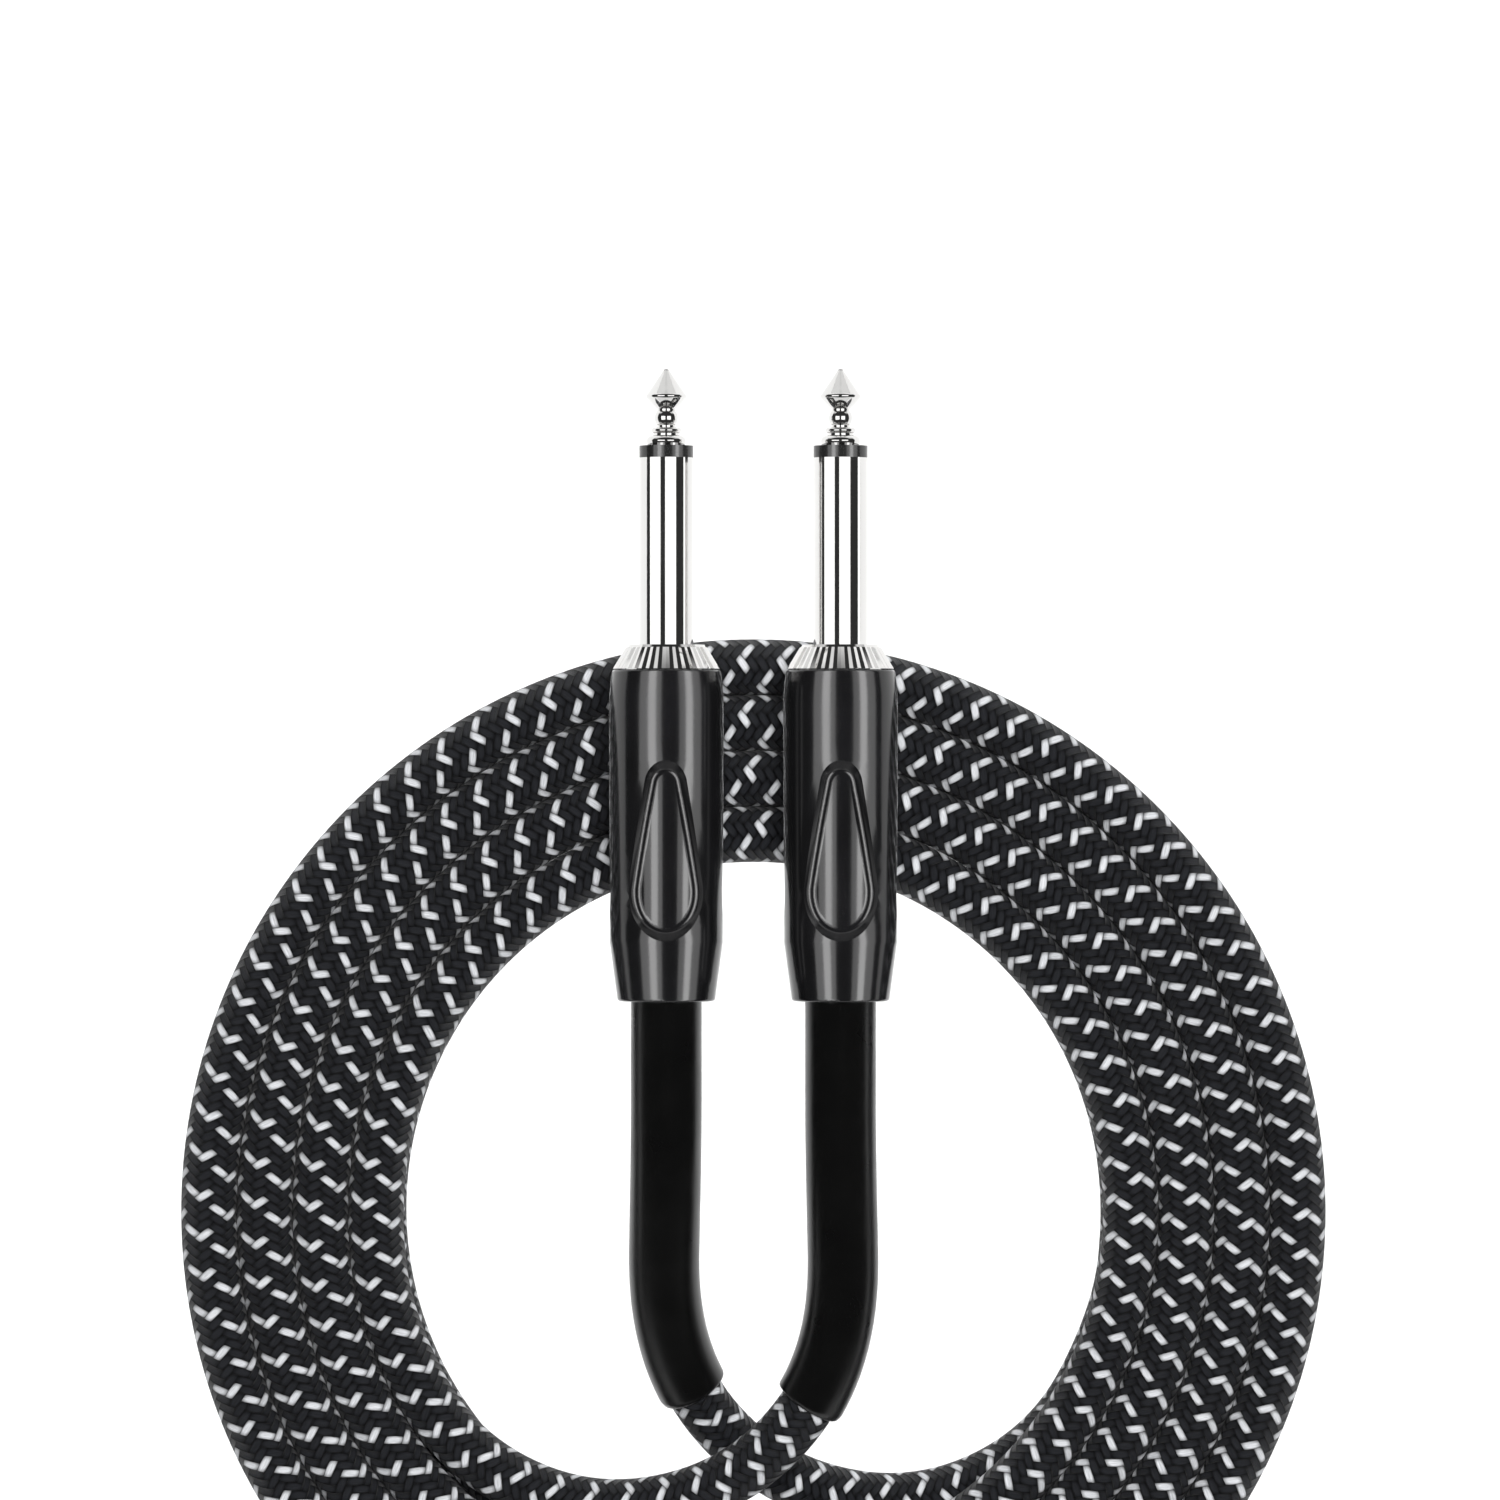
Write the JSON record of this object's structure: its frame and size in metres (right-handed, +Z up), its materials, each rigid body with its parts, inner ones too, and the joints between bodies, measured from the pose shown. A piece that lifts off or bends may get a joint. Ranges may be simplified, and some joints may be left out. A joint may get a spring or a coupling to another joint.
{
  "type": "instrument cable",
  "caption": "Woven-jacket instrument cable wound into a flat round coil, with two straight quarter-inch mono plugs in black screw-on shells lying on top.",
  "frame": {"origin": "on the resting plane, under the centre of the whole object's bounding box", "axes": "+Y along both plugs towards their tips, +Z up from the surface that the coil lies on, +X across the two plugs from plug a to plug b"},
  "size_m": [0.1356, 0.167, 0.0269],
  "materials": {
    "nickel_plate": "polished nickel plate",
    "black_ring": "glossy black",
    "black_shell": "satin black",
    "shrink_tube": "satin black shrunk tube",
    "woven_jacket": "braided black with grey flecks",
    "inner_sheath": "smooth black",
    "insulator": "natural nylon",
    "tinned_lug": "tinned stamping",
    "copper": "bare copper strands",
    "solder": "bright solder"
  },
  "bodies": {
    "cable": {"cable_coil": "woven_jacket", "tip_a": "nickel_plate", "tip_ring_a": "black_ring", "sleeve_a": "nickel_plate", "rod_insulator_a": "insulator", "collar_a": "nickel_plate", "washer_a": "insulator", "ground_lug_a": "tinned_lug", "tip_lug_a": "tinned_lug", "centre_wire_a": "copper", "core_insulation_a": "insulator", "shield_pigtail_a": "copper", "inner_sheath_a": "inner_sheath", "tip_solder_a": "solder", "ground_solder_a": "solder", "strain_relief_a": "shrink_tube", "cable_lead_a": "woven_jacket", "tip_b": "nickel_plate", "tip_ring_b": "black_ring", "sleeve_b": "nickel_plate", "rod_insulator_b": "insulator", "collar_b": "nickel_plate", "washer_b": "insulator", "ground_lug_b": "tinned_lug", "tip_lug_b": "tinned_lug", "centre_wire_b": "copper", "core_insulation_b": "insulator", "shield_pigtail_b": "copper", "inner_sheath_b": "inner_sheath", "tip_solder_b": "solder", "ground_solder_b": "solder", "strain_relief_b": "shrink_tube", "cable_lead_b": "woven_jacket"},
    "liner_a": {"liner_a": "insulator"},
    "shell_a": {"shell_a": "black_shell"},
    "liner_b": {"liner_b": "insulator"},
    "shell_b": {"shell_b": "black_shell"}
  },
  "joints": [
    {"name": "liner_a_slide", "type": "slide", "parent": "cable", "child": "liner_a", "axis": [0, -1, 0], "range_m": [0, 0.00487]},
    {"name": "shell_a_turn", "type": "hinge", "parent": "liner_a", "child": "shell_a", "pos_m": [-0.0102, 0.04835, 0.02022], "axis": [0, -1, 0], "range_deg": [0, 2340]},
    {"name": "liner_b_slide", "type": "slide", "parent": "cable", "child": "liner_b", "axis": [0, -1, 0], "range_m": [0, 0.00487]},
    {"name": "shell_b_turn", "type": "hinge", "parent": "liner_b", "child": "shell_b", "pos_m": [0.0102, 0.04835, 0.02022], "axis": [0, -1, 0], "range_deg": [0, 2340]}
  ],
  "couplings": [
    {"joint": "shell_a_turn", "follows": "liner_a_slide", "rad_per_m": 8377.6},
    {"joint": "shell_b_turn", "follows": "liner_b_slide", "rad_per_m": 8377.6}
  ]
}
